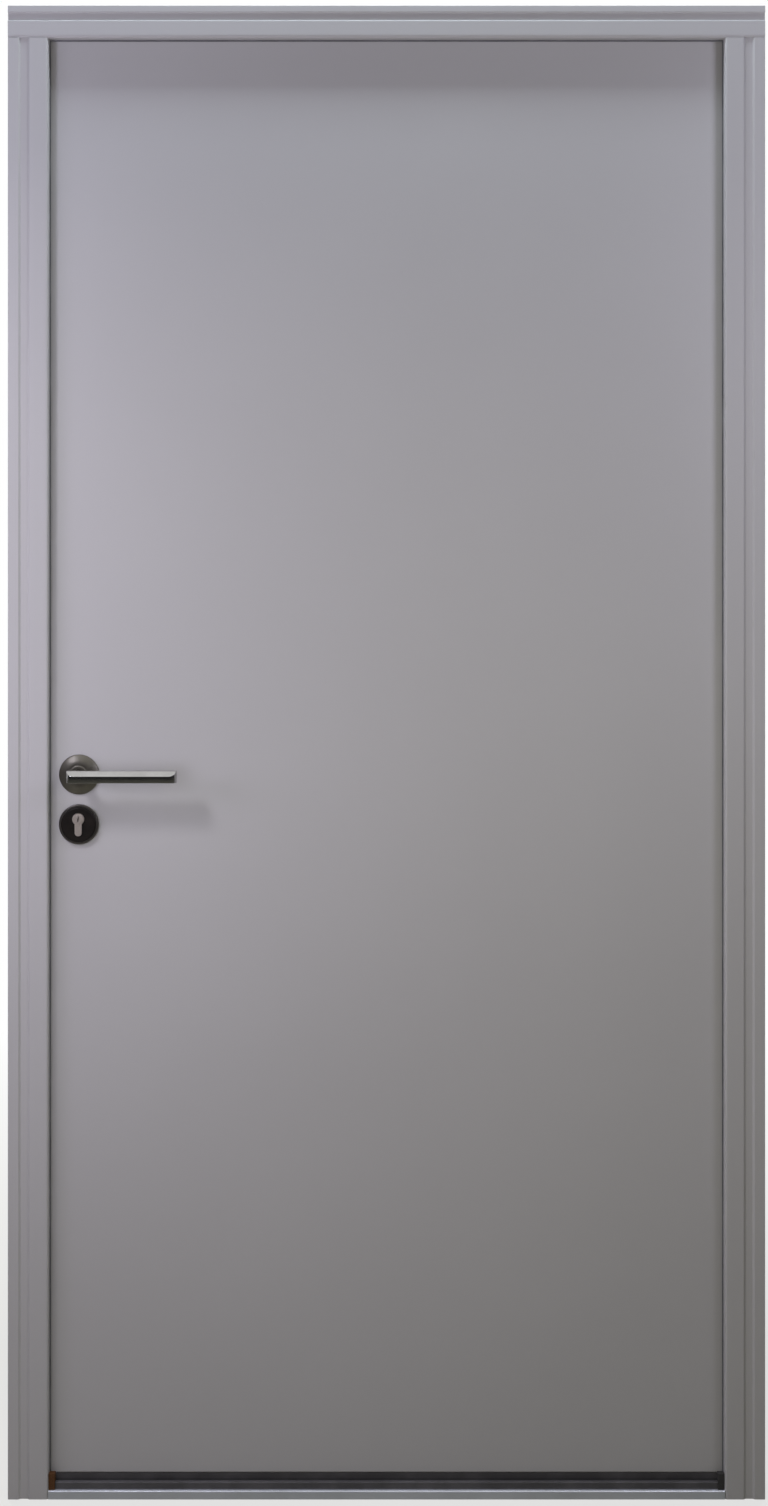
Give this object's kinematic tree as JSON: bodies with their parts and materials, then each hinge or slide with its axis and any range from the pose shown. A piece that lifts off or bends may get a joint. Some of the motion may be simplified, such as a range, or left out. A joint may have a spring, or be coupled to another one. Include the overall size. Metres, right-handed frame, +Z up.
{
  "type": "steel entry door",
  "caption": "Grey steel entry door set: hollow steel frame with a grooved face, flush insulated leaf, lever handles and an aluminium threshold.",
  "frame": {"origin": "under the middle of the threshold, halfway through the depth of the frame", "axes": "+X to the right seen from outside, +Y indoors, +Z up"},
  "size_m": [1.09, 0.172, 2.15],
  "materials": {
    "painted_steel": "satin",
    "threshold_aluminium": "satin",
    "black_rubber": "matte",
    "dark_plastic": "matte",
    "brown_foam": "matte",
    "grey_foam": "matte",
    "grey_gasket": "matte",
    "edge_plastic": "satin",
    "insulation": "matte",
    "satin_steel": "satin",
    "lever_steel": "polished",
    "black_guard": "satin",
    "nickel": "satin"
  },
  "bodies": {
    "frame": {"left_jamb": "painted_steel", "right_jamb": "painted_steel", "head": "painted_steel", "threshold": "threshold_aluminium", "threshold_stop_bar": "dark_plastic", "threshold_end_block_left": "brown_foam", "threshold_end_block_right": "grey_foam", "left_gasket": "grey_gasket", "right_gasket": "grey_gasket", "head_gasket": "grey_gasket", "strike_plate": "satin_steel", "hinge_lower_frame_half": "satin_steel", "hinge_middle_frame_half": "satin_steel", "hinge_upper_frame_half": "satin_steel"},
    "leaf": {"leaf_outer_skin": "painted_steel", "leaf_inner_skin": "painted_steel", "leaf_core": "insulation", "leaf_edge_strip_top": "edge_plastic", "leaf_edge_strip_bottom": "edge_plastic", "leaf_edge_strip_hinge": "edge_plastic", "leaf_edge_strip_lock_lower": "edge_plastic", "leaf_edge_strip_lock_upper": "edge_plastic", "sweep_carrier": "dark_plastic", "sweep_lip": "black_rubber", "lock_front": "satin_steel", "lock_latch": "satin_steel", "lock_dead_bolt": "satin_steel", "lock_cylinder": "nickel", "outer_lever_rose": "satin_steel", "inner_lever_rose": "satin_steel", "outer_key_rose": "satin_steel", "inner_key_rose": "satin_steel", "outer_key_guard": "black_guard", "inner_key_guard": "black_guard", "hinge_lower_leaf_half": "satin_steel", "hinge_middle_leaf_half": "satin_steel", "hinge_upper_leaf_half": "satin_steel"},
    "lever_set": {"outer_lever": "lever_steel", "inner_lever": "lever_steel", "lever_spindle": "satin_steel"}
  },
  "joints": [
    {"name": "leaf_swing", "type": "hinge", "parent": "frame", "child": "leaf", "pos_m": [0.5035, 0.04385, 0], "axis": [0, 0, -1], "range_deg": [0, 110]},
    {"name": "lever_turn", "type": "hinge", "parent": "leaf", "child": "lever_set", "pos_m": [-0.445, 0, 1.042], "axis": [0, 1, 0], "range_deg": [0, 45], "stiffness_Nm_per_rad": 1.5, "springref_deg": -34.38}
  ]
}
